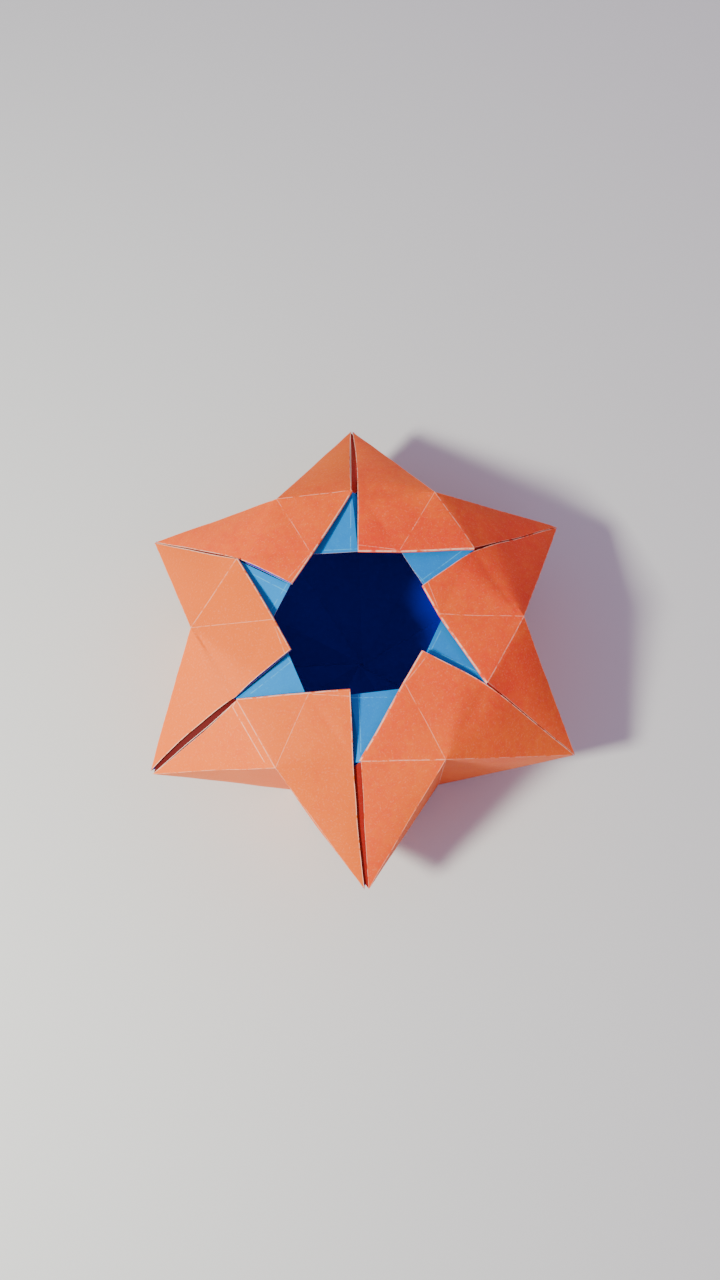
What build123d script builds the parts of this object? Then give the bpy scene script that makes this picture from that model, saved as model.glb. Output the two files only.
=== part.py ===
from build123d import *
import os
from math import atan, cos, degrees, radians, sin, sqrt, tan

# Six-pointed star box folded from six square sheets of two-coloured paper.
# The form is a six-sided prism with square sides, and each side carries a
# square spike whose four faces are equilateral triangles. A six-sided mouth
# opens in the top, edged by six flaps that lap round it like a pinwheel. Each
# flap springs up a little towards the mouth.
#
# Millimetres, +Z up. The origin is the middle of the base, and one spike
# points along +Y. Seen from above, the sheets follow one another clockwise.

# Driving dimensions
sheet_side = 150.0  # side of each square sheet
row_count = 6  # equal rows across a sheet: hem, flap, two for a wall, two for the base
paper = 0.2  # thickness of the paper
play = 0.3  # air between two layers that lie on each other
seam = 0.6  # slit along the ridge of each spike, between two sheets
tip_flat = 0.4  # width of the blunt end of each spike
flap_tilt = 10.0  # angle in degrees by which each flap rises towards the mouth
hem_margin = 2.0  # hem's raw edges stop this far short of the creases
tongue_reach = 11.0  # length of tongue held in the next sheet's pocket
tongue_margin = 3.0  # tongue stops this far short of the crease at its outer end
tab_margin = 1.0  # tab under the next slope starts this far past the crease
centre_relief = 2.0  # layers under the base keep this far from its middle

# Sizes that follow
arm_count = 6
turn = 360 / arm_count
row = sheet_side / row_count
prism_edge = 2 * row / cos(radians(30))
height = prism_edge
middle = height / 2
side_distance = prism_edge * cos(radians(30))
tip_radius = side_distance + prism_edge / sqrt(2)
arm_slope = degrees(atan((height / 2) / (tip_radius - side_distance)))
far = 2 * tip_radius
core_apothem = 0.75 * side_distance
ceiling = height + side_distance * tan(radians(flap_tilt)) + row

# Depths of the layers under the outer skin: tab and tongue first, then the hem
tab_face = paper + play
tab_back = tab_face + paper
hem_face = tab_back + play
hem_back = hem_face + paper
bend_radius = hem_back / 2

# The sheet that is modelled: its own spike points along +Y, its notch lies at
# 60 degrees and the next spike at 30 degrees.
own_spike = 90
notch = own_spike - turn / 2
next_spike = own_spike - turn
last_notch = own_spike + turn / 2


def polar(radius, angle):
    """Point in plan at a radius and an angle in degrees."""
    return Vector(radius * cos(radians(angle)), radius * sin(radians(angle)))


def plan_of_spike(angle, level):
    """Level plane whose Y runs out along a spike and whose X runs clockwise."""
    return Plane(origin=(0, 0, level), x_dir=polar(1, angle - 90), z_dir=(0, 0, 1))


def lifted(part, angle):
    """Part made flat with the top, turned up with the flap whose notch is at an angle."""
    foot = polar(side_distance, angle) + Vector(0, 0, height)
    return part.rotate(Axis(foot, polar(1, angle + 90)), flap_tilt)


def spike(angle, inset):
    """One spike with every face moved inward, begun well inside the prism."""
    start = side_distance / 2
    slope = tan(radians(arm_slope))
    half = (tip_radius - inset / sin(radians(arm_slope)) - start) * slope
    end = start + (half - tip_flat / 2) / slope
    outline = ((-half, start), (half, start), (tip_flat / 2, end), (-tip_flat / 2, end))
    level = Plane(origin=(0, 0, middle), x_dir=polar(1, angle - 90), z_dir=(0, 0, 1))
    upright = Plane(origin=(0, 0, middle), x_dir=(0, 0, 1), z_dir=polar(1, angle + 90))
    with BuildPart() as form:
        with BuildSketch(level):
            with BuildLine():
                Polyline(*outline, close=True)
            make_face()
        extrude(amount=far, both=True)
        with BuildSketch(upright):
            with BuildLine():
                Polyline(*outline, close=True)
            make_face()
        extrude(amount=far, both=True, mode=Mode.INTERSECT)
    return form.part


def star_form(inset):
    """The two spikes a sheet reaches, and the core, with every face moved inward."""
    with BuildPart() as below_flap:
        with BuildSketch(Plane.XY.offset(height - inset)):
            Circle(far)
        extrude(amount=-far)
    with BuildPart() as form:
        with BuildSketch():
            RegularPolygon(core_apothem, arm_count, major_radius=False)
        extrude(amount=ceiling)
        add(spike(own_spike, inset))
        add(spike(next_spike, inset))
        with BuildSketch(Plane.XY.offset(inset)):
            Circle(far)
        extrude(amount=ceiling, mode=Mode.INTERSECT)
        add(lifted(below_flap.part, notch), mode=Mode.INTERSECT)
    return form.part


def layer(face, back):
    """Layer of paper that follows the star between two depths."""
    with BuildPart() as sheet:
        add(star_form(face))
        add(star_form(back), mode=Mode.SUBTRACT)
    return sheet.part


def wedge(corner, first_angle, last_angle, low, high):
    """Upright block over the part of the plan between two directions from a corner."""
    with BuildPart() as block:
        with BuildSketch(Plane.XY.offset(low)):
            with BuildLine():
                Polyline(corner, corner + polar(far, first_angle), corner + polar(far, last_angle), close=True)
            make_face()
        extrude(amount=high - low)
    return block.part


own_sector = wedge(polar(seam, notch), own_spike, next_spike, 0, ceiling)
under_skin = layer(tab_face, tab_back)
full_depth = layer(0, tab_back)

# What lies towards the mouth from the hem's bend, on the flat top
with BuildPart() as mouth_side:
    with BuildSketch(Plane.XY.offset(height - hem_back)):
        with Locations((0, row + bend_radius)):
            Rectangle(2 * far, far, align=(Align.CENTER, Align.MAX))
    extrude(amount=row)

# Outer skin: half of each spike's slope, both walls of the notch and a sixth of
# the base, with the flap cut back to the bend of its hem.
with BuildPart() as skin:
    add(layer(0, paper))
    add(own_sector, mode=Mode.INTERSECT)
    add(lifted(mouth_side.part, notch), mode=Mode.SUBTRACT)

# Hem, turned under the flap round a half-round bend along its inner edge, as far
# as the creases round the top.
with BuildPart() as flat_hem:
    with BuildSketch(Plane.YZ):
        with Locations((row + bend_radius, height - bend_radius)):
            Circle(bend_radius)
            Circle(bend_radius - paper, mode=Mode.SUBTRACT)
            Rectangle(2 * bend_radius, 2 * bend_radius, align=(Align.MIN, Align.CENTER), mode=Mode.SUBTRACT)
        with Locations((row + bend_radius, height - hem_back)):
            Rectangle(far, paper, align=(Align.MIN, Align.MIN))
    extrude(amount=far)
    with BuildSketch():
        RegularPolygon(side_distance - hem_margin, arm_count, major_radius=False)
    extrude(amount=height, mode=Mode.INTERSECT)

with BuildPart() as hem:
    add(lifted(flat_hem.part, notch))
    add(own_sector, mode=Mode.INTERSECT)

# Tongue, the layer that shows its reverse in the window beside the flap. It
# leaves the bend, crosses the window and lies in the next sheet's pocket, so it
# follows its own flap as far as the ridge and the next flap beyond it.
with BuildPart() as flat_tongue:
    with BuildSketch(plan_of_spike(next_spike, height - tab_back)):
        inner = row + paper + play
        outer = side_distance - tongue_margin
        lean = tan(radians(turn / 2))
        with BuildLine():
            Polyline(
                (-(side_distance - inner) * lean - paper, inner),
                (-(side_distance - outer) * lean - paper, outer),
                (tongue_reach, outer),
                (tongue_reach, inner),
                close=True,
            )
        make_face()
    extrude(amount=paper)

before_ridge = wedge(polar(0, notch), own_spike, next_spike, 0, ceiling)
past_ridge = wedge(polar(0, notch), next_spike, next_spike - turn, 0, ceiling)

with BuildPart() as window:
    add(lifted(flat_tongue.part, notch))
    add(before_ridge, mode=Mode.INTERSECT)

with BuildPart() as tucked_end:
    add(lifted(flat_tongue.part, notch - turn))
    add(past_ridge, mode=Mode.INTERSECT)

# Tab that runs on under the next sheet's slope and turns down inside its wall,
# with the step that carries it down from the skin.
with BuildPart() as tab:
    add(under_skin)
    with BuildSketch(plan_of_spike(next_spike, middle + play)):
        start = side_distance + tab_margin
        rise = degrees(atan((tip_radius - side_distance) / prism_edge))
        with BuildLine():
            Polyline(
                (-seam / 2 - paper, start),
                (0, start),
                (far * cos(radians(rise)), start + far * sin(radians(rise))),
                (-seam / 2 - paper, far),
                close=True,
            )
        make_face()
    extrude(amount=height, mode=Mode.INTERSECT)

with BuildPart() as tab_step:
    add(full_depth)
    with BuildSketch(plan_of_spike(next_spike, middle + play)):
        with Locations((-seam / 2, side_distance + tab_margin)):
            Rectangle(paper, far, align=(Align.MAX, Align.MIN))
    extrude(amount=height, mode=Mode.INTERSECT)

# Lap that runs under the last sheet's half of the spike and base, and lines the
# lower half of that sheet's wall, with the step that carries it up from the skin.
with BuildPart() as lap:
    add(under_skin)
    add(wedge(Vector(seam / 2 + paper, centre_relief), own_spike, last_notch, 0, middle - play), mode=Mode.INTERSECT)

with BuildPart() as lap_step:
    add(full_depth)
    with BuildSketch(plan_of_spike(own_spike, 0)):
        with Locations((seam / 2, centre_relief)):
            Rectangle(paper, far, align=(Align.MIN, Align.MIN))
    extrude(amount=middle - play, mode=Mode.INTERSECT)

with BuildPart() as folded_sheet:
    for piece in (skin, hem, window, tucked_end, tab, tab_step, lap, lap_step):
        add(piece.part)

# Six sheets, named by where their own spike points.
os.makedirs("parts", exist_ok=True)
sheet_names = ("north", "north_east", "south_east", "south", "south_west", "north_west")
for index, name in enumerate(sheet_names):
    with BuildPart() as placed_sheet:
        add(folded_sheet.part, rotation=(0, 0, -index * turn))
    placed_sheet.part.label = "sheet_" + name
    export_step(placed_sheet.part, "parts/sheet_" + name + ".step")
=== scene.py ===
import math
from functools import partial

import bpy
import numpy as np
from mathutils import Matrix, Vector, noise


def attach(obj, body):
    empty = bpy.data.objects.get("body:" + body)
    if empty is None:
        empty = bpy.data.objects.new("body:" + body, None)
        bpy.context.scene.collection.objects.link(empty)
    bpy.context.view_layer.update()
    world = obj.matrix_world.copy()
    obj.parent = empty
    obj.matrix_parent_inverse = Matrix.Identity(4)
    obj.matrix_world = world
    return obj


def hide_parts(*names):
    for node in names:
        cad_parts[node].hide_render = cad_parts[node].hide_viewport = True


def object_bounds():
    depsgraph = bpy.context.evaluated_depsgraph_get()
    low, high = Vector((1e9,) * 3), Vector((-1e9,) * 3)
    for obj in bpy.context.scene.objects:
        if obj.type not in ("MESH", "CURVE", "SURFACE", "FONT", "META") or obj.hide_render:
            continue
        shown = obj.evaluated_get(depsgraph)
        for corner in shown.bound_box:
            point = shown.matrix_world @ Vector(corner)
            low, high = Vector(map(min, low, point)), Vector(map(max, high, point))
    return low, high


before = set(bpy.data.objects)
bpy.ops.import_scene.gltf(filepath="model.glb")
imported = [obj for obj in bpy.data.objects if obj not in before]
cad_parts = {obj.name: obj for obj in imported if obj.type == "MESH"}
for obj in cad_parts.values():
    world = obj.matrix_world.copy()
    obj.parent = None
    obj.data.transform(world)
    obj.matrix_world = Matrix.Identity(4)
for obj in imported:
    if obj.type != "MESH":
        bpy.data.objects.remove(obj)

# Star box folded from six sheets of paper, orange outside and blue inside.
# The box's lengths are millimetres in the frame's axes, and become metres in
# make_mesh(). The floor and the lights are given in metres.
MM = 0.001
cad_low, cad_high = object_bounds()

# Blender's noise takes its offsets from the clock unless it is given a seed
NOISE_SEED = 1795615152
noise.seed_set(NOISE_SEED)

# Form of the box. The solid's tips are blunt and stop a little short of the true
# points, and every other length follows from how far the points reach.
TURN = 60  # degrees from one arm to the next
TIP_BLUNT = 0.43
TIP = cad_high.y / MM + TIP_BLUNT
EDGE = TIP / (math.cos(math.radians(TURN / 2)) + math.sqrt(0.5))
SIDE = EDGE * math.cos(math.radians(TURN / 2))
ROW = SIDE / 2
HEIGHT = EDGE
HALF = EDGE / 2
ARMS = ("north", "north_east", "south_east", "south", "south_west", "north_west")

# Paper, and the depth of each hidden layer under the outer skin
PAPER = 0.2
TAB_DEPTH = 0.8
BASE_LAP_DEPTH = 0.22
HEM_DEPTH = 1.4
TONGUE_DEPTH = 1.8
TONGUE_SAG = 1.8

# Fineness: steps along each side of a panel, of a lap, and round the hem's bend
GRID = 28
LAP_GRID = 10
BEND_STEPS = 6

# The flap curves down on to its own spike, with no crease there: how far the
# curve reaches at the ridge, and how soon it dies out past the ridge
BEND_REACH = 12.0
BEND_FADE = 6.0
SPIKE_SLOPE = math.sqrt(0.5)

# Unevenness of the whole box, slow and quick: lengths, heights, a shift that sets
# the two apart, and the height above the table by which both have come in
SLOW_LENGTH, QUICK_LENGTH = 34.0, 11.0
SLOW_HEIGHT, QUICK_HEIGHT = 0.35, 0.14
QUICK_SHIFT = (7.0, 3.0, 1.0)
WAVER_START = 10.0

# How far each kind of panel billows outwards in its middle
BILLOW = {
    "slope": 0.5,
    "next_slope": 0.6,
    "flap": 0.25,
    "corner": 0.15,
    "wall": 0.4,
    "underside": 0.3,
    "base": 0.0,
}
BILLOW_SCALE = 27  # three shares that add up to 1 multiply to 1/27 at most
BOW_SCALE = 4  # and two of them to 1/4

# How the corners have moved from the true form, arm by arm: outwards and
# clockwise. Each kind of corner has also risen or dropped.
CORNER_LIFT = 5.0
MOUTH_LIFT = 4.0
KNEE_LIFT = 1.0
NOTCH_DROP = 1.0
CORNER_SHIFT = ((0, 1.2), (1, 2.5), (1, 0), (1, 3), (0.7, 2), (1.6, 0.2))
MOUTH_SHIFT = ((0.2, 1.5), (0, -0.5), (-0.5, -1.5), (2.5, 1.5), (0.5, 0.5), (0.5, -1))
KNEE_SHIFT = ((0.2, 0.7), (0, -0.7), (0, -0.9), (-0.2, 0.5), (0.1, -2), (-0.7, 0.7))
NOTCH_SHIFT = ((0, 1.4), (0.9, 0.3), (-0.4, 0.3), (0.5, -0.2), (1.3, 0.2), (-1.3, 0))
TIP_SHIFT = ((0.2, -0.2), (0.3, 0.6), (-1.2, 0.2), (-0.6, -0.3), (-0.5, -1), (0.7, -0.6))

# Slit along each spike's ridge: how far clockwise the flap's raw edge lies at
# the knee, how far the other way the neighbour's fold lies, and what share of
# both is left at the tip
RAW_SHIFT = (1.1, 0.3, 0.2, 2.4, 1.2, 0.3)
FOLD_SHIFT = (1.2, 0.2, 0.2, 0.2, 0.6, 0.5)
TIP_SHARE = (0.3, 0.3, 0.3, 0.55, 0.8, 0.3)

# How far each slit's two sides bow apart half-way along it
RAW_BOW = (0.5, 0, 0, 0.3, 0.9, 0.1)
FOLD_BOW = (0.5, 0, 0, 0, 0.6, 0.2)

# Slit under each spike, and where the six slits meet in the middle of the base
LOW_SLIT = 0.3
CENTRE_SLIT = LOW_SLIT / 4

# Hem: how far short of the knee, the notch and the next knee it stops, in shares
HEM_SETBACKS = (0.1, 0.12, 0.02)

# Tongue: how far it runs into the next sheet's pocket, how far back it starts
# from the mouth, and its two sides, as shares of the way from corner to knee
TONGUE_REACH = 11.0
TONGUE_SETBACK = 1.0
TONGUE_SIDES = (0.03, 0.99)

# Tab: where its far corner points, from the notch to the tip, and how near it comes
TAB_SLANT = 0.35
TAB_WIDTH = 0.95

# Lap: how far it fills the underside, from the tip to itself, the side and the foot
LAP_SHARES = (0, 1, 0.9)

# Layers of a sheet, which aren't welded to one another
SKIN_LAYER, HEM_LAYER, TONGUE_LAYER, TAB_LAYER, LAP_LAYER, BASE_LAP_LAYER = range(6)


def polar(radius, angle, z=0.0):
    turn = math.radians(angle)
    return np.array([radius * math.cos(turn), radius * math.sin(turn), z])


def for_arm(values, arm):
    """One arm's value, where the arms are counted on past the last."""
    return values[arm % len(ARMS)]


def arm_angle(arm):
    return 90 - TURN * arm


def moved(radius, angle, z, shift=(0, 0), lift=0.0):
    """Point at a radius and angle, shifted outwards, clockwise and up."""
    return polar(radius + shift[0], angle, z + lift) + polar(shift[1], angle - 90)


def tip(arm):
    return moved(TIP, arm_angle(arm), HALF, for_arm(TIP_SHIFT, arm))


def knee(arm):
    """Top of the ridge of a spike, where it meets the flap."""
    return moved(SIDE, arm_angle(arm), HEIGHT, for_arm(KNEE_SHIFT, arm), KNEE_LIFT)


def corner(arm):
    """Square inner corner of the flap on this arm's sheet."""
    return moved(ROW, arm_angle(arm), HEIGHT, for_arm(CORNER_SHIFT, arm), CORNER_LIFT)


def mouth(arm):
    """Place on the flap's inner edge from which the tongue's edge leaves it."""
    angle = arm_angle(arm) - TURN / 2
    return moved(HALF, angle, HEIGHT, for_arm(MOUTH_SHIFT, arm), MOUTH_LIFT)


def notch_top(arm):
    angle = arm_angle(arm) - TURN / 2
    return moved(EDGE, angle, HEIGHT, for_arm(NOTCH_SHIFT, arm), -NOTCH_DROP)


def notch_foot(arm):
    return moved(EDGE, arm_angle(arm) - TURN / 2, 0)


def foot_middle(arm):
    """Middle of the base's side under a spike."""
    return moved(SIDE, arm_angle(arm), 0)


def clockwise(arm, amount):
    """Shift across an arm."""
    return polar(amount, arm_angle(arm) - 90)


def down(point, depth):
    return point - np.array([0, 0, depth])


def mix(a, b, share):
    return a + (b - a) * share


def unit(vector):
    return vector / np.linalg.norm(vector)


def facing(corners):
    """Direction of a triangle whose corners go anticlockwise seen from outside."""
    a, b, c = corners
    return unit(np.cross(b - a, c - a))


def inward(corners, depth):
    """The same triangle, moved down through the paper by a depth."""
    normal = facing(corners)
    return [point - normal * depth for point in corners]


def line(points, count=GRID):
    """Even steps along a bent line, the same number on each stretch."""
    steps = []
    for a, b in zip(points, points[1:]):
        steps += [mix(a, b, k / count) for k in range(count)]
    return steps + [points[-1]]


def flat(x, y):
    """Place on the unfolded sheet, from half edges measured from the notch's top."""
    return np.array([x, y]) * HALF


# The unfolded sheet, in half edges from the top of the notch. Its rows are half
# as far apart as a spike's triangular faces are tall.
TALL = 1.732
FLAT = {
    "notch": flat(0, 0),
    "tip": flat(-1, -TALL),
    "knee": flat(-1, 0),
    "corner": flat(-1, TALL / 2),
    "mouth": flat(-0.5, TALL / 2),
    "next_knee": flat(0.5, TALL / 2),
    "next_tip": flat(2, 0),
    "foot": flat(1, -TALL),
    "last_foot": flat(0, -2 * TALL),
    "next_foot": flat(3, -TALL),
    "side_middle": flat(0.5, -1.5 * TALL),
    "next_side_middle": flat(2, -TALL),
    "centre": flat(2, -2 * TALL),
}

# Layers that lie apart from the pattern above keep their places well clear of it
TONGUE_FLAT = np.array([300.0, 0.0])
HIDDEN_FLAT = np.array([600.0, 0.0])
HIDDEN_PANEL = [HIDDEN_FLAT] * 3


def soft_bend(point, arm):
    """Lowers a point near the foot of an arm's ridge, where the flap curves down."""
    along = point @ polar(1, arm_angle(arm)) - SIDE
    across = point @ clockwise(arm, 1)
    share = 1 - across / HALF if across >= 0 else 1 + across / BEND_FADE
    reach = BEND_REACH * max(0.0, min(1.0, share))
    if abs(along) >= reach:
        return point
    # A parabola that leaves the flap and the spike in their own directions
    return down(point, SPIKE_SLOPE / (4 * reach) * (reach - abs(along)) ** 2)


def waver(point):
    """Slow unevenness of the whole box, the same for layers that lie together."""
    slow = noise.noise_vector(Vector(point) / SLOW_LENGTH)
    quick = noise.noise_vector(Vector(point) / QUICK_LENGTH + Vector(QUICK_SHIFT))
    share = min(1.0, max(0.0, point[2] / WAVER_START))
    return (np.array(slow) * SLOW_HEIGHT + np.array(quick) * QUICK_HEIGHT) * share


class Sheet:
    """Collects the triangles of one folded sheet, welded where they meet."""

    def __init__(self):
        self.points, self.flats, self.faces = [], [], []
        self.windows = self.laps = range(0)
        self.index = {}

    def vertex(self, point, place, layer):
        key = (*np.round(point, 2), layer)
        if key not in self.index:
            self.index[key] = len(self.points)
            self.points.append(point)
            self.flats.append(place)
        return self.index[key]

    def face(self, a, b, c):
        if len({a, b, c}) == 3:
            self.faces.append((a, b, c))

    def panel(self, corners, places, shape=None, billow=0.0, layer=SKIN_LAYER, grid=GRID, bow=0.0):
        """Fine triangular grid over a flat triangle, bent by shape and billowed outwards.

        The corners go anticlockwise seen from the orange side. The first edge can bow.
        """
        a, b, c = corners
        normal = facing(corners)
        rows = []
        for i in range(grid + 1):
            row = []
            for j in range(grid + 1 - i):
                v, w = i / grid, j / grid
                u = 1 - v - w
                point = a * u + b * v + c * w
                if shape:
                    point = shape(point)
                point = point + waver(point)
                point = point + normal * billow * BILLOW_SCALE * u * v * w + bow * BOW_SCALE * u * v
                place = places[0] * u + places[1] * v + places[2] * w
                row.append(self.vertex(point, place, layer))
            rows.append(row)
        for i in range(grid):
            for j in range(grid - i):
                self.face(rows[i][j], rows[i + 1][j], rows[i][j + 1])
                if j < grid - i - 1:
                    self.face(rows[i + 1][j], rows[i + 1][j + 1], rows[i][j + 1])

    def strip(self, edges, places, layer=SKIN_LAYER):
        """Band through rows of points, each row to the right of the last seen from outside."""
        rows = []
        for edge, row_places in zip(edges, places):
            rows.append([self.vertex(p + waver(p), q, layer) for p, q in zip(edge, row_places)])
        for low, high in zip(rows, rows[1:]):
            for k in range(len(low) - 1):
                self.face(low[k], high[k], low[k + 1])
                self.face(high[k], high[k + 1], low[k + 1])


def own_ridge(arm):
    """Tip, knee and inner corner of a sheet's raw edge, along its own ridge."""
    raw = for_arm(RAW_SHIFT, arm)
    at_tip = tip(arm) + clockwise(arm, raw * for_arm(TIP_SHARE, arm))
    return at_tip, knee(arm) + clockwise(arm, raw), corner(arm)


def next_ridge(arm):
    """Tip and knee of a sheet's folded edge, along the next arm's ridge."""
    fold = -for_arm(FOLD_SHIFT, arm + 1)
    at_tip = tip(arm + 1) + clockwise(arm + 1, fold * for_arm(TIP_SHARE, arm + 1))
    return at_tip, knee(arm + 1) + clockwise(arm + 1, fold)


def fold_skin(sheet, arm):
    """Outer skin: half of each spike, the flap, both walls and a sixth of the base."""
    own_tip, own_knee, own_corner = own_ridge(arm)
    next_tip, next_knee = next_ridge(arm)
    points = {
        "notch": notch_top(arm),
        "tip": own_tip,
        "knee": own_knee,
        "corner": own_corner,
        "mouth": mouth(arm),
        "next_knee": next_knee,
        "next_tip": next_tip,
        "foot": notch_foot(arm),
        "side_middle": foot_middle(arm) + clockwise(arm, LOW_SLIT),
        "next_side_middle": foot_middle(arm + 1),
        "centre": polar(CENTRE_SLIT, arm_angle(arm + 1)),
    }

    def panel(names, kind, shape=None, bow=0.0):
        names = names.split()
        corners, places = [points[x] for x in names], [FLAT[x] for x in names]
        sheet.panel(corners, places, shape, BILLOW[kind], bow=bow)

    bend = partial(soft_bend, arm=arm)
    raw_bow = clockwise(arm, for_arm(RAW_BOW, arm))
    fold_bow = clockwise(arm + 1, -for_arm(FOLD_BOW, arm + 1))
    panel("tip knee notch", "slope", bend, raw_bow)
    panel("knee mouth notch", "flap", bend)
    panel("knee corner mouth", "corner", bend)
    panel("notch mouth next_knee", "flap")
    panel("next_knee next_tip notch", "next_slope", None, fold_bow)
    panel("tip notch foot", "wall")
    panel("notch next_tip foot", "wall")
    panel("tip foot side_middle", "underside")
    panel("next_tip next_side_middle foot", "underside")
    panel("centre side_middle foot", "base")
    panel("centre foot next_side_middle", "base")


def fold_hem(sheet, arm):
    """Hem turned under the flap, round a half-round bend along its inner edge."""
    bend = partial(soft_bend, arm=arm)
    notch, own_mouth, next_knee = notch_top(arm), mouth(arm), next_ridge(arm)[1]
    own_knee, own_corner = own_ridge(arm)[1:]
    edge = line([bend(own_corner), bend(own_mouth), next_knee])
    places = line([FLAT["corner"], FLAT["mouth"], FLAT["next_knee"]])
    toward = unit(own_corner - own_knee)
    radius = HEM_DEPTH / 2
    rows, row_places = [], []
    for step in range(BEND_STEPS + 1):
        turn = math.pi * step / BEND_STEPS
        fall = radius * (1 - math.cos(turn))
        bulge = radius * math.sin(turn)
        rows.append([down(point + toward * bulge, fall) for point in edge])
        row_places.append([place + np.array([0, turn * radius]) for place in places])
    sheet.strip(rows, row_places)

    # Back under the flap, short of the creases round the top
    by_knee, by_notch, by_next = HEM_SETBACKS
    outline = (
        mix(own_knee, own_corner, by_knee),
        own_corner,
        own_mouth,
        mix(notch, own_mouth, by_notch),
        mix(next_knee, own_mouth, by_next),
    )
    a, b, c, d, e = (down(bend(point), HEM_DEPTH) for point in outline)
    for corners in ((a, c, b), (a, d, c), (d, e, c)):
        sheet.panel(corners, HIDDEN_PANEL, layer=HEM_LAYER)


def fold_tongue(sheet, arm):
    """Tongue whose reverse shows in the window, from the bend to the next pocket."""
    bend = partial(soft_bend, arm=arm + 1)
    knee_end, corner_end = own_ridge(arm + 1)[1:]
    along, back = unit(mouth(arm + 1) - corner_end), unit(knee_end - corner_end)
    low = TONGUE_DEPTH + TONGUE_SAG
    start = down(mouth(arm) + back * TONGUE_SETBACK, low)
    out = down(next_ridge(arm)[1], TONGUE_DEPTH)
    inner, outer = (mix(corner_end, knee_end, share) for share in TONGUE_SIDES)
    inner_end = down(inner + along * TONGUE_REACH, low)
    outer_end = down(bend(outer + along * TONGUE_REACH), low)
    inner, outer = down(inner, low), down(bend(outer), TONGUE_DEPTH)
    side = np.array([back[1], -back[0]])

    def place(point):
        offset = (point - corner_end)[:2]
        return TONGUE_FLAT + np.array([offset @ side, ROW + offset @ back[:2]])

    first = len(sheet.faces)
    for corners in (
        (start, out, inner),
        (out, outer, inner),
        (inner, outer, inner_end),
        (outer, outer_end, inner_end),
    ):
        sheet.panel(corners, [place(point) for point in corners], layer=TONGUE_LAYER)
    sheet.windows = range(first, len(sheet.faces))


def fold_tab(sheet, arm):
    """Tab under the next sheet's slope, seen in the slit along the ridge."""
    bend = partial(soft_bend, arm=arm + 1)
    fold_tip, fold_knee = next_ridge(arm)
    raw_tip, raw_knee = own_ridge(arm + 1)[:2]
    low_tip, low_knee, low_notch = inward((raw_tip, raw_knee, notch_top(arm + 1)), TAB_DEPTH)
    across = clockwise(arm + 1, 1)
    slit = (raw_knee - fold_knee) @ across
    tip_slit = (raw_tip - fold_tip) @ across
    near_knee = low_knee - across * (slit - PAPER)
    near_tip = low_tip - across * max(tip_slit - PAPER, 0)
    far = mix(low_knee, mix(low_notch, low_tip, TAB_SLANT), TAB_WIDTH)
    sheet.panel((near_tip, near_knee, far), HIDDEN_PANEL, bend, layer=TAB_LAYER)
    rows = [line([fold_knee, fold_tip]), line([bend(near_knee), near_tip])]
    sheet.strip(rows, [[HIDDEN_FLAT] * len(rows[0])] * 2, TAB_LAYER)


def fold_lap(sheet, arm):
    """Lap inside the last sheet's half of the underside and base."""
    past = clockwise(arm, 2 * LOW_SLIT)
    side, foot = foot_middle(arm) + past, notch_foot(arm - 1)
    under = inward((own_ridge(arm)[0] + past, side, foot), TAB_DEPTH)
    under = [mix(under[0], point, share) for point, share in zip(under, LAP_SHARES)]
    base = inward((past, foot, side), BASE_LAP_DEPTH)
    first = len(sheet.faces)
    sheet.panel(under, HIDDEN_PANEL, layer=LAP_LAYER, grid=LAP_GRID)
    sheet.panel(base, HIDDEN_PANEL, layer=BASE_LAP_LAYER, grid=LAP_GRID)
    sheet.laps = range(first, len(sheet.faces))


def fold_sheet(arm):
    sheet = Sheet()
    for fold in (fold_skin, fold_hem, fold_tongue, fold_tab, fold_lap):
        fold(sheet, arm)
    return sheet


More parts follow.
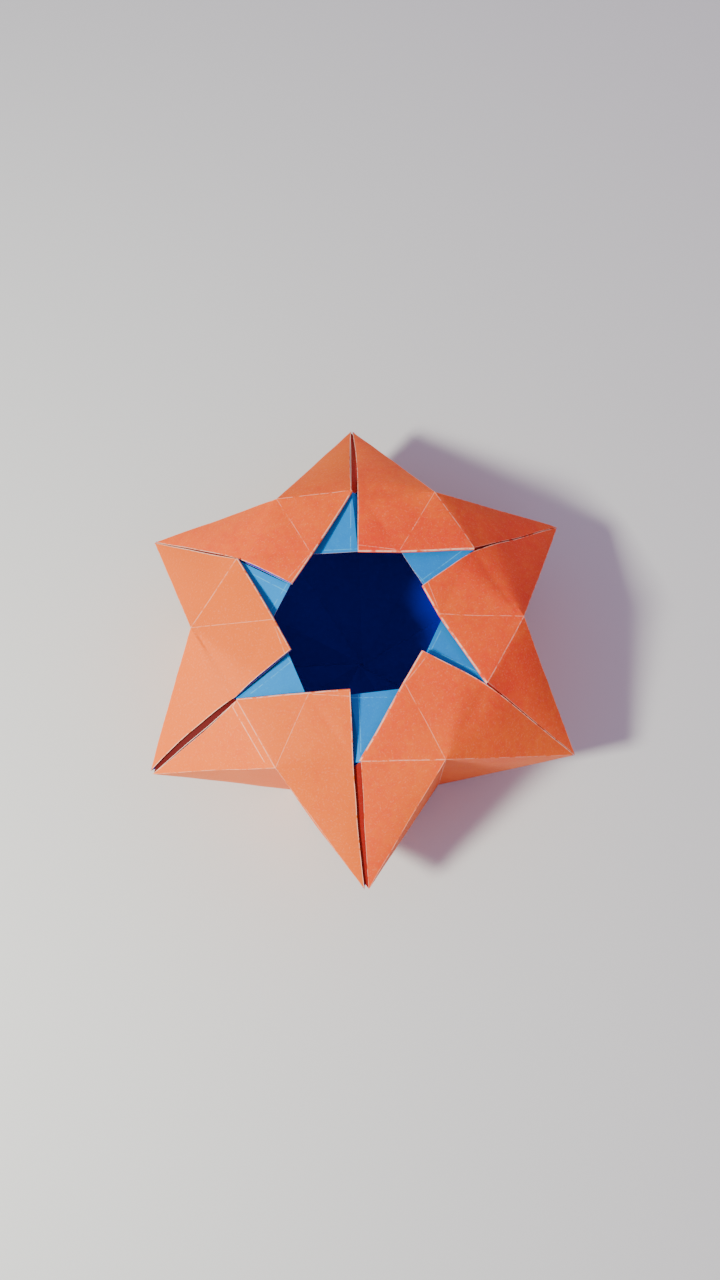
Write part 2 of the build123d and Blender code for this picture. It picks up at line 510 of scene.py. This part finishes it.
class Nodes:
    """Short ways to add shader nodes to a tree."""

    # Places of the colours among the Mix node's sockets, and of the mixed colour
    COLOUR_A, COLOUR_B, MIXED_COLOUR = 6, 7, 2

    def __init__(self, tree):
        self.tree = tree

    def new(self, kind, **settings):
        node = self.tree.nodes.new(kind)
        for key, value in settings.items():
            setattr(node, key, value)
        return node

    def link(self, source, target):
        self.tree.links.new(source, target)

    def feed(self, socket, value):
        if isinstance(value, bpy.types.NodeSocket):
            self.link(value, socket)
        else:
            socket.default_value = value

    def math(self, operation, a, b, clamp=False):
        node = self.new("ShaderNodeMath", operation=operation, use_clamp=clamp)
        self.feed(node.inputs[0], a)
        self.feed(node.inputs[1], b)
        return node.outputs[0]

    def total(self, *terms):
        """Sum of values, each times its share."""
        result = None
        for value, share in terms:
            value = self.math("MULTIPLY", value, share)
            result = value if result is None else self.math("ADD", result, value)
        return result

    def vector(self, operation, a, b=None, scale=None):
        node = self.new("ShaderNodeVectorMath", operation=operation)
        self.feed(node.inputs[0], a)
        if b is not None:
            self.feed(node.inputs[1], b)
        if scale is not None:
            self.feed(node.inputs["Scale"], scale)
        return node.outputs["Value" if operation in ("DOT_PRODUCT", "LENGTH") else "Vector"]

    def noise(self, place, scale, detail, rough):
        node = self.new("ShaderNodeTexNoise")
        self.link(place, node.inputs["Vector"])
        node.inputs["Scale"].default_value = scale
        node.inputs["Detail"].default_value = detail
        node.inputs["Roughness"].default_value = rough
        return node.outputs["Fac"]

    def ramp(self, value, low, high):
        """Maps a value from 0 at low to 1 at high, smoothly."""
        node = self.new("ShaderNodeMapRange", interpolation_type="SMOOTHSTEP")
        self.link(value, node.inputs["Value"])
        node.inputs["From Min"].default_value = low
        node.inputs["From Max"].default_value = high
        return node.outputs["Result"]

    def blend(self, share, a, b):
        """Mixes two colours: the first at 0, the second at 1."""
        node = self.new("ShaderNodeMix", data_type="RGBA", blend_type="MIX")
        self.feed(node.inputs[0], share)
        self.feed(node.inputs[self.COLOUR_A], a)
        self.feed(node.inputs[self.COLOUR_B], b)
        return node.outputs[self.MIXED_COLOUR]

    def segment(self, place, start, end):
        """Distance from a place to a straight line between two points."""
        span = (end[0] - start[0], end[1] - start[1], 0)
        square = span[0] ** 2 + span[1] ** 2
        offset = self.vector("SUBTRACT", place, (start[0], start[1], 0))
        dot = self.vector("DOT_PRODUCT", offset, span)
        share = self.math("DIVIDE", dot, square, clamp=True)
        reach = self.vector("SCALE", span, scale=share)
        return self.vector("LENGTH", self.vector("SUBTRACT", offset, reach))

    def nearest(self, place, segments):
        distance = self.segment(place, *segments[0])
        for start, end in segments[1:]:
            distance = self.math("MINIMUM", distance, self.segment(place, start, end))
        return distance


# Worn creases, faint creases and cut edges on the unfolded sheet. Where one lies
# beside a named place, the numbers say how far, in millimetres.
SHARP = (
    (FLAT["notch"], FLAT["next_knee"]),
    (FLAT["notch"], FLAT["tip"]),
    (FLAT["notch"], FLAT["next_tip"]),
    (FLAT["notch"], FLAT["foot"]),
    (FLAT["tip"], FLAT["foot"]),
    (FLAT["next_tip"], FLAT["foot"]),
    (FLAT["next_tip"], FLAT["next_knee"]),
    (FLAT["last_foot"], FLAT["foot"]),
    (FLAT["foot"], FLAT["next_foot"]),
)
HEM_EDGE = ((FLAT["corner"] + (0, 0.4), FLAT["next_knee"] + (0, 0.4)),)
FAINT = (
    (FLAT["notch"], FLAT["mouth"]),
    (FLAT["corner"] + (0, -2.1), FLAT["corner"] + (13, -0.4)),
)
SECOND_CREASE = (
    (FLAT["next_knee"] + (0.3, 0), FLAT["next_knee"] + (2.1, -2.2)),
    (FLAT["next_knee"] + (2.1, -2.2), FLAT["notch"] + (4.5, 2.4)),
)
CUT = ((FLAT["tip"], FLAT["corner"]),)
TONGUE_FAINT = (
    (TONGUE_FLAT + (-2.6, ROW), TONGUE_FLAT + (-2.6, SIDE - 5)),
    (TONGUE_FLAT + (-12.0, ROW + 1.8), TONGUE_FLAT + (0, ROW + 1.8)),
)

# Sets of lines, each with its half width in millimetres and how pale it is worn
ORANGE_LINES = ((SHARP, 0.3, 0.6), (HEM_EDGE, 0.55, 0.95), (FAINT, 0.22, 0.45), (CUT, 0.4, 0.95))
CREASED_LINES = ORANGE_LINES + ((SECOND_CREASE, 0.28, 0.7),)
BLUE_LINES = ((TONGUE_FAINT, 0.24, 0.6),)

# Each side of the paper: its colour, the deeper one that it varies to, at random and with the
# painted tone of light and shade, and the one it is worn to. Orange paper that lies deep in a slit
# is painted towards the dark red below, a painted shade.
ORANGE = ((0.90, 0.175, 0.010), (0.80, 0.030, 0.010), (1.0, 0.62, 0.45))
PAINTED_SLIT_SHADE = (0.11, 0.0, 0.0)
# The blue inside the box is a darker, deeper copy of the window's blue: painted shade of the box's
# inside. The window's blue is the paper's plain colour.
SHADED_INNER_BLUE = ((0.0002, 0.003, 0.70), (0.0002, 0.002, 0.62), (0.01, 0.05, 0.8))
WINDOW_BLUE = ((0.0, 0.28, 0.76), (0.0, 0.21, 0.68), (0.1, 0.6, 1.0))
CUT_EDGE = ((0.95, 0.75, 0.62), (0.85, 0.6, 0.48), (0.95, 0.9, 0.86))

# Noises in the paper: scale, detail and roughness
CLOUD = (22.0, 4.0, 0.6)
GRAIN = (1500.0, 3.0, 0.7)
FIBRE = (420.0, 2.0, 0.6)
PATCH = (260.0, 3.0, 0.7)
NOISE_MIDDLE = 0.5

# What makes up the shade that runs from the deeper colour to the plain one: random cloud and fibre,
# and the painted tone, which is painted light and shade
CLOUD_SHADE, FIBRE_SHADE, PAINTED_TONE_SHARE = 0.8, 0.35, 0.5
SHADE_RANGE = (0.35, 1.05)

# Pale specks of grain, and the tones at which hidden paper is painted dark, as painted shade in the
# slits
SPECK_RANGE = (0.5, 0.75)
SPECK_SHARE = 0.16
PAINTED_SLIT_RANGE = (-0.9, -0.1)

# Worn lines: how ragged they are, how much of each is solid, in half widths, and
# the patches in which they are rubbed away or left
RAGGED = 1.6
SOLID = 0.35
RUBBED_RANGE = (0.36, 0.56)

# Relief of the paper, and its surface
GRAIN_RELIEF, FIBRE_RELIEF, LINE_RELIEF = 0.35, 0.65, 0.8
BUMP_STRENGTH = 0.35
BUMP_DEPTH = 0.10
PAPER_SURFACE = {"Roughness": 0.62, "Specular IOR Level": 0.2, "Sheen Weight": 0.03}


def paper_material(name, colours, lines, slit_shade=None):
    """Matte paper with grain, random uneven tone, painted light and shade from the painted tone,
    painted shade in slits where a slit colour is given, pale worn creases and pale cut edges.
    """
    colour, deep, worn = ((*shade, 1) for shade in colours)
    material = bpy.data.materials.new(name)
    material.use_nodes = True
    n = Nodes(material.node_tree)
    shader = material.node_tree.nodes["Principled BSDF"]
    place = n.new("ShaderNodeUVMap", uv_map="flat").outputs["UV"]
    body = n.new("ShaderNodeTexCoord").outputs["Object"]
    painted_tone = n.new("ShaderNodeAttribute", attribute_name="painted_tone").outputs["Fac"]

    cloud = n.noise(body, *CLOUD)
    grain = n.noise(body, *GRAIN)
    fibre = n.noise(body, *FIBRE)
    patch = n.noise(body, *PATCH)
    # The painted tone adds painted light and shade, sheet by sheet
    shade = n.total((cloud, CLOUD_SHADE), (fibre, FIBRE_SHADE), (painted_tone, PAINTED_TONE_SHARE))
    skin = n.blend(n.ramp(shade, *SHADE_RANGE), deep, colour)
    specks = n.math("MULTIPLY", n.ramp(grain, *SPECK_RANGE), SPECK_SHARE)
    skin = n.blend(specks, skin, worn)
    # Paper deep in a slit is painted towards dark red: painted shade
    if slit_shade:
        skin = n.blend(n.ramp(painted_tone, *PAINTED_SLIT_RANGE), (*slit_shade, 1), skin)

    uneven = n.math("SUBTRACT", patch, NOISE_MIDDLE)
    strength = None
    for segments, width, amount in lines:
        distance = n.nearest(place, segments)
        ragged = n.math("ADD", distance, n.math("MULTIPLY", uneven, width * RAGGED))
        core = n.math("SUBTRACT", 1.0, n.ramp(ragged, width * SOLID, width))
        core = n.math("MULTIPLY", core, amount)
        strength = core if strength is None else n.math("MAXIMUM", strength, core)
    rubbed = n.math("MULTIPLY", strength, n.ramp(patch, *RUBBED_RANGE), clamp=True)
    n.link(n.blend(rubbed, skin, worn), shader.inputs["Base Color"])

    for socket, value in PAPER_SURFACE.items():
        shader.inputs[socket].default_value = value
    bump = n.new("ShaderNodeBump")
    bump.inputs["Strength"].default_value = BUMP_STRENGTH
    bump.inputs["Distance"].default_value = BUMP_DEPTH * MM
    relief = n.total((grain, GRAIN_RELIEF), (fibre, FIBRE_RELIEF), (strength, LINE_RELIEF))
    n.link(relief, bump.inputs["Height"])
    n.link(bump.outputs["Normal"], shader.inputs["Normal"])
    return material


orange = paper_material("orange_side", ORANGE, ORANGE_LINES, PAINTED_SLIT_SHADE)
creased = paper_material("orange_creased", ORANGE, CREASED_LINES, PAINTED_SLIT_SHADE)
# Darker copy of the blue paper for the box's inside: painted shade
shaded_inner_blue = paper_material("blue_inside_painted_shade", SHADED_INNER_BLUE, BLUE_LINES)
window_blue = paper_material("blue_window", WINDOW_BLUE, BLUE_LINES)
white = paper_material("cut_edge", CUT_EDGE, BLUE_LINES)

# Materials of a sheet in threes, for its outer side, its reverse and its cut edge: first those of
# the skin, then the tongue's, then the lap's. The skin's reverse takes the darker inside blue, a
# painted shade, and so does the lap's cut edge in place of white.
SIDES = (orange, shaded_inner_blue, white, orange, window_blue, white, orange, shaded_inner_blue, shaded_inner_blue)
WINDOW_SLOT, LAP_SLOT = 3, 6
REVERSE_OFFSET, CUT_EDGE_OFFSET = 1, 2

# Faces that meet at more than this angle, in degrees, meet in a crease
CREASE_ANGLE = 24


def sharpen_cut_edges(data):
    """Marks every edge with paper on one side only as sharp, so that it shades crisply."""
    edges = np.zeros(len(data.loops), dtype=np.int32)
    data.loops.foreach_get("edge_index", edges)
    sharp = np.bincount(edges, minlength=len(data.edges)) == 1
    for index in np.flatnonzero(sharp):
        data.edges[index].use_edge_sharp = True


def make_mesh(name, sheet, painted_tone, painted_slit_tone, materials):
    """Turns a sheet into a mesh object with thickness, materials, places and painted tones of light
    and shade.
    """
    data = bpy.data.meshes.new(name)
    data.from_pydata([tuple(p * MM) for p in sheet.points], [], sheet.faces)
    for material in materials:
        data.materials.append(material)
    slots = np.zeros(len(sheet.faces), dtype=np.int32)
    slots[list(sheet.windows)] = WINDOW_SLOT
    slots[list(sheet.laps)] = LAP_SLOT
    data.polygons.foreach_set("material_index", slots)
    layer = data.uv_layers.new(name="flat")
    places = np.array(sheet.flats)
    loops = np.zeros(len(data.loops), dtype=np.int32)
    data.loops.foreach_get("vertex_index", loops)
    layer.data.foreach_set("uv", places[loops].astype(np.float32).ravel())
    # Hidden layers take the painted slit shade, the rest of the sheet its painted light and shade
    painted_tones = data.attributes.new("painted_tone", "FLOAT", "POINT")
    hidden = places[:, 0] > (TONGUE_FLAT[0] + HIDDEN_FLAT[0]) / 2
    painted_tones.data.foreach_set("value", np.where(hidden, painted_slit_tone, painted_tone).astype(np.float32))
    data.shade_smooth()
    data.set_sharp_from_angle(angle=math.radians(CREASE_ANGLE))
    sharpen_cut_edges(data)
    obj = bpy.data.objects.new(name, data)
    bpy.context.scene.collection.objects.link(obj)
    thick = obj.modifiers.new("thickness", "SOLIDIFY")
    thick.thickness = PAPER * MM
    thick.offset = -1
    thick.material_offset = REVERSE_OFFSET
    thick.material_offset_rim = CUT_EDGE_OFFSET
    return obj


# One sheet has a second crease beside its next knee
CREASED_SHEET = "south"

# Painted light and shade of each sheet's skin: the lower, the deeper its orange; sheets away from
# the key light are painted deeper, those towards it paler
PAINTED_SHEET_TONES = (0.22, 0.18, 0.34, 0.85, 1.0, 0.45)

# Painted shade of each sheet's hidden layers, which shows on the tab in the next spike's slit: the
# lower, the darker
PAINTED_SLIT_TONES = (-0.65, -0.65, -0.6, -0.95, -0.65, -0.4)

for index, arm_name in enumerate(ARMS):
    sides = (creased, *SIDES[1:]) if arm_name == CREASED_SHEET else SIDES
    folded = fold_sheet(index)
    piece = make_mesh("paper_" + arm_name, folded, PAINTED_SHEET_TONES[index], PAINTED_SLIT_TONES[index], sides)
    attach(piece, "root")
    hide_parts("sheet_" + arm_name)

# Studio: lengths in metres, angles in degrees, azimuths counterclockwise from +X
FLOOR_REACH = 3.0
FLOOR_COLOUR = (0.66, 0.78, 0.80, 1)
FLOOR_ROUGHNESS = 0.6
AIR_COLOUR = (0.92, 0.66, 0.95, 1)
AIR_STRENGTH = 0.40
LIGHTS = (
    # name, azimuth, elevation, distance, size, power, colour
    ("key", 202, 46, 0.85, 0.13, 12.0, (1.0, 0.90, 0.74)),
    ("fill", 300, 45, 1.5, 1.0, 2.6, (1.0, 0.55, 0.80)),
    ("rear fill", 35, 35, 1.5, 1.0, 2.6, (1.0, 0.70, 0.82)),
)

# Camera where the photograph was taken from, found from the box's corners:
# degrees to the right of the front, above the level and of roll, then millimetres
CAMERA_ANGLES = (2.99, 72.97, -4.98)
CAMERA_TARGET = (0.33, 1.96, HALF)
CAMERA_DISTANCE = 357.6
CAMERA_LENS = 26.375
CAMERA_SENSOR = 36


def add_floor():
    material = bpy.data.materials.new("floor")
    material.use_nodes = True
    shader = material.node_tree.nodes["Principled BSDF"]
    shader.inputs["Base Color"].default_value = FLOOR_COLOUR
    shader.inputs["Roughness"].default_value = FLOOR_ROUGHNESS
    signs = ((-1, -1), (1, -1), (1, 1), (-1, 1))
    corners = [(x * FLOOR_REACH, y * FLOOR_REACH, 0) for x, y in signs]
    data = bpy.data.meshes.new("floor")
    data.from_pydata(corners, [], [(0, 1, 2, 3)])
    data.materials.append(material)
    floor = bpy.data.objects.new("floor", data)
    bpy.context.scene.collection.objects.link(floor)
    floor.location.z = -PAPER * MM


def add_light(name, azimuth, elevation, distance, size, power, colour):
    """Area light aimed at the middle of the box."""
    data = bpy.data.lights.new(name, "AREA")
    data.size = size
    data.energy = power
    data.color = colour
    light = bpy.data.objects.new(name, data)
    level = distance * math.cos(math.radians(elevation))
    place = Vector(polar(level, azimuth, distance * math.sin(math.radians(elevation))))
    light.location = place
    light.rotation_euler = (place - Vector((0, 0, HALF * MM))).to_track_quat("Z", "Y").to_euler()
    bpy.context.scene.collection.objects.link(light)


def add_air():
    """Even soft light from all round."""
    world = bpy.data.worlds.new("studio")
    bpy.context.scene.world = world
    world.use_nodes = True
    background = world.node_tree.nodes["Background"]
    background.inputs["Color"].default_value = AIR_COLOUR
    background.inputs["Strength"].default_value = AIR_STRENGTH


def add_camera():
    azimuth, elevation, roll = (math.radians(angle) for angle in CAMERA_ANGLES)
    target = Vector(CAMERA_TARGET) * MM
    level = math.cos(elevation)
    back = Vector((math.sin(azimuth) * level, -math.cos(azimuth) * level, math.sin(elevation)))
    right = Vector((math.cos(azimuth), math.sin(azimuth), 0))
    up = back.cross(right)
    turned_right = right * math.cos(roll) + up * math.sin(roll)
    turned_up = up * math.cos(roll) - right * math.sin(roll)
    data = bpy.data.cameras.new("camera")
    data.sensor_width = CAMERA_SENSOR
    data.lens = CAMERA_LENS
    camera = bpy.data.objects.new("camera", data)
    axes = Matrix((turned_right, turned_up, back)).transposed().to_4x4()
    camera.matrix_world = Matrix.Translation(target + back * CAMERA_DISTANCE * MM) @ axes
    bpy.context.scene.collection.objects.link(camera)
    bpy.context.scene.camera = camera


add_floor()
for light_settings in LIGHTS:
    add_light(*light_settings)
add_air()
add_camera()
